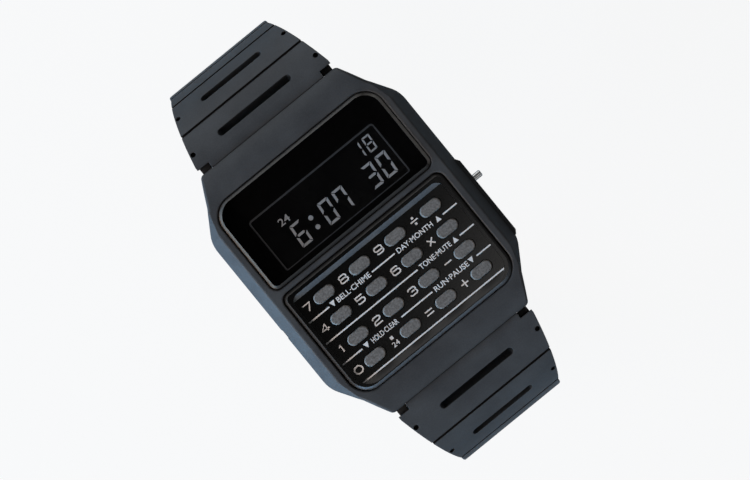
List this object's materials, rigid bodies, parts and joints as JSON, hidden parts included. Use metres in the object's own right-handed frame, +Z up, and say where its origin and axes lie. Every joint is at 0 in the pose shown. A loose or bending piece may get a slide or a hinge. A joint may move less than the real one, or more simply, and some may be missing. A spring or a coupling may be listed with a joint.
{
  "type": "calculator watch",
  "caption": "Wristwatch in a resin case with a digital display above a calculator keypad of rubber keys, side pushers and a hinged two-part resin strap with pin buckle.",
  "frame": {"origin": "on the table, at the flat tail of the long strap half, under the middle of the case", "axes": "+X to 3 o'clock, +Y to 12 o'clock, +Z up, out of the display"},
  "size_m": [0.0361, 0.0686, 0.0627],
  "materials": {
    "black_resin": "satin, moulded resin",
    "clear_crystal": "polished clear acrylic",
    "black_print": "black ink",
    "panel_black": "black, with a slight gloss",
    "key_rubber": "light grey, matt",
    "mat_rubber": "grey, matt",
    "board_green": "solder mask",
    "module_plastic": "moulded",
    "display_glass": "polished, reflective film below",
    "connector_rubber": "striped silicone",
    "cell_steel": "plated",
    "steel": "brushed",
    "spring_steel": "bright wire",
    "seal_rubber": "matt",
    "chip_epoxy": "cast epoxy",
    "winding": "enamelled copper wire",
    "disc_brass": "rolled"
  },
  "bodies": {
    "case": {"case_shell": "black_resin", "display_window": "clear_crystal", "display_mask": "black_print", "keypad_panel": "panel_black", "key_mat": "mat_rubber", "circuit_board": "board_green", "module_frame": "module_plastic", "lcd_holder": "module_plastic", "lcd_panel": "display_glass", "lcd_connectors": "connector_rubber", "battery": "cell_steel", "battery_clip": "spring_steel", "module_back_plate": "steel", "case_back": "steel", "case_back_screws": "steel", "case_gasket": "seal_rubber", "quartz_crystal": "cell_steel", "sealed_chip": "chip_epoxy", "buzzer_coil": "winding", "buzzer_disc": "disc_brass", "buzzer_spring": "spring_steel", "mode_pusher_spring": "spring_steel", "mode_pusher_seal": "seal_rubber", "adjust_pusher_spring": "spring_steel", "adjust_pusher_seal": "seal_rubber", "upper_spring_bar_tube": "steel", "upper_spring_bar_tips": "steel", "upper_spring_bar_spring": "spring_steel", "lower_spring_bar_tube": "steel", "lower_spring_bar_tips": "steel", "lower_spring_bar_spring": "spring_steel"},
    "key_7": {"key_7": "key_rubber"},
    "key_8": {"key_8": "key_rubber"},
    "key_9": {"key_9": "key_rubber"},
    "key_divide": {"key_divide": "key_rubber"},
    "key_4": {"key_4": "key_rubber"},
    "key_5": {"key_5": "key_rubber"},
    "key_6": {"key_6": "key_rubber"},
    "key_times": {"key_times": "key_rubber"},
    "key_1": {"key_1": "key_rubber"},
    "key_2": {"key_2": "key_rubber"},
    "key_3": {"key_3": "key_rubber"},
    "key_minus": {"key_minus": "key_rubber"},
    "key_0": {"key_0": "key_rubber"},
    "key_point": {"key_point": "key_rubber"},
    "key_equals": {"key_equals": "key_rubber"},
    "key_plus": {"key_plus": "key_rubber"},
    "mode_pusher": {"mode_pusher": "steel", "mode_pusher_clip": "spring_steel"},
    "adjust_pusher": {"adjust_pusher": "steel", "adjust_pusher_clip": "spring_steel"},
    "strap_hole_half": {"strap_hole_half": "black_resin"},
    "strap_buckle_half": {"strap_buckle_half": "black_resin", "buckle_bar_tube": "steel", "buckle_bar_tips": "steel", "buckle_bar_spring": "spring_steel"},
    "buckle": {"buckle_frame": "black_resin"},
    "tang": {"buckle_tang": "steel"},
    "keeper": {"strap_keeper": "black_resin"}
  },
  "joints": [
    {"name": "key_7_press", "type": "slide", "parent": "case", "child": "key_7", "axis": [0, 0, -1], "range_m": [0, 0.0005], "stiffness_N_per_m": 2000, "deforming": ["key_mat"]},
    {"name": "key_8_press", "type": "slide", "parent": "case", "child": "key_8", "axis": [0, 0, -1], "range_m": [0, 0.0005], "stiffness_N_per_m": 2000, "deforming": ["key_mat"]},
    {"name": "key_9_press", "type": "slide", "parent": "case", "child": "key_9", "axis": [0, 0, -1], "range_m": [0, 0.0005], "stiffness_N_per_m": 2000, "deforming": ["key_mat"]},
    {"name": "key_divide_press", "type": "slide", "parent": "case", "child": "key_divide", "axis": [0, 0, -1], "range_m": [0, 0.0005], "stiffness_N_per_m": 2000, "deforming": ["key_mat"]},
    {"name": "key_4_press", "type": "slide", "parent": "case", "child": "key_4", "axis": [0, 0, -1], "range_m": [0, 0.0005], "stiffness_N_per_m": 2000, "deforming": ["key_mat"]},
    {"name": "key_5_press", "type": "slide", "parent": "case", "child": "key_5", "axis": [0, 0, -1], "range_m": [0, 0.0005], "stiffness_N_per_m": 2000, "deforming": ["key_mat"]},
    {"name": "key_6_press", "type": "slide", "parent": "case", "child": "key_6", "axis": [0, 0, -1], "range_m": [0, 0.0005], "stiffness_N_per_m": 2000, "deforming": ["key_mat"]},
    {"name": "key_times_press", "type": "slide", "parent": "case", "child": "key_times", "axis": [0, 0, -1], "range_m": [0, 0.0005], "stiffness_N_per_m": 2000, "deforming": ["key_mat"]},
    {"name": "key_1_press", "type": "slide", "parent": "case", "child": "key_1", "axis": [0, 0, -1], "range_m": [0, 0.0005], "stiffness_N_per_m": 2000, "deforming": ["key_mat"]},
    {"name": "key_2_press", "type": "slide", "parent": "case", "child": "key_2", "axis": [0, 0, -1], "range_m": [0, 0.0005], "stiffness_N_per_m": 2000, "deforming": ["key_mat"]},
    {"name": "key_3_press", "type": "slide", "parent": "case", "child": "key_3", "axis": [0, 0, -1], "range_m": [0, 0.0005], "stiffness_N_per_m": 2000, "deforming": ["key_mat"]},
    {"name": "key_minus_press", "type": "slide", "parent": "case", "child": "key_minus", "axis": [0, 0, -1], "range_m": [0, 0.0005], "stiffness_N_per_m": 2000, "deforming": ["key_mat"]},
    {"name": "key_0_press", "type": "slide", "parent": "case", "child": "key_0", "axis": [0, 0, -1], "range_m": [0, 0.0005], "stiffness_N_per_m": 2000, "deforming": ["key_mat"]},
    {"name": "key_point_press", "type": "slide", "parent": "case", "child": "key_point", "axis": [0, 0, -1], "range_m": [0, 0.0005], "stiffness_N_per_m": 2000, "deforming": ["key_mat"]},
    {"name": "key_equals_press", "type": "slide", "parent": "case", "child": "key_equals", "axis": [0, 0, -1], "range_m": [0, 0.0005], "stiffness_N_per_m": 2000, "deforming": ["key_mat"]},
    {"name": "key_plus_press", "type": "slide", "parent": "case", "child": "key_plus", "axis": [0, 0, -1], "range_m": [0, 0.0005], "stiffness_N_per_m": 2000, "deforming": ["key_mat"]},
    {"name": "mode_pusher_press", "type": "slide", "parent": "case", "child": "mode_pusher", "axis": [-1, 0, 0], "range_m": [0, 0.0008], "stiffness_N_per_m": 800, "deforming": ["mode_pusher_spring"]},
    {"name": "adjust_pusher_press", "type": "slide", "parent": "case", "child": "adjust_pusher", "axis": [1, 0, 0], "range_m": [0, 0.0006], "stiffness_N_per_m": 800, "deforming": ["adjust_pusher_spring"]},
    {"name": "lower_strap_hinge", "type": "hinge", "parent": "case", "child": "strap_hole_half", "pos_m": [0, -0.0221, 0.05837], "axis": [1, 0, 0], "range_deg": [-15, 3]},
    {"name": "upper_strap_hinge", "type": "hinge", "parent": "case", "child": "strap_buckle_half", "pos_m": [0, 0.0221, 0.05837], "axis": [1, 0, 0], "range_deg": [-30, 10]},
    {"name": "buckle_hinge", "type": "hinge", "parent": "strap_buckle_half", "child": "buckle", "pos_m": [0, 0.00517, 0.02236], "axis": [1, 0, 0], "range_deg": [-60, 10]},
    {"name": "tang_hinge", "type": "hinge", "parent": "buckle", "child": "tang", "pos_m": [0, 0.00517, 0.02236], "axis": [1, 0, 0], "range_deg": [0, 60]},
    {"name": "keeper_slide", "type": "hinge", "parent": "strap_buckle_half", "child": "keeper", "pos_m": [0, 0.01032, 0.0447], "axis": [1, 0, 0], "range_deg": [-8, 30]}
  ]
}
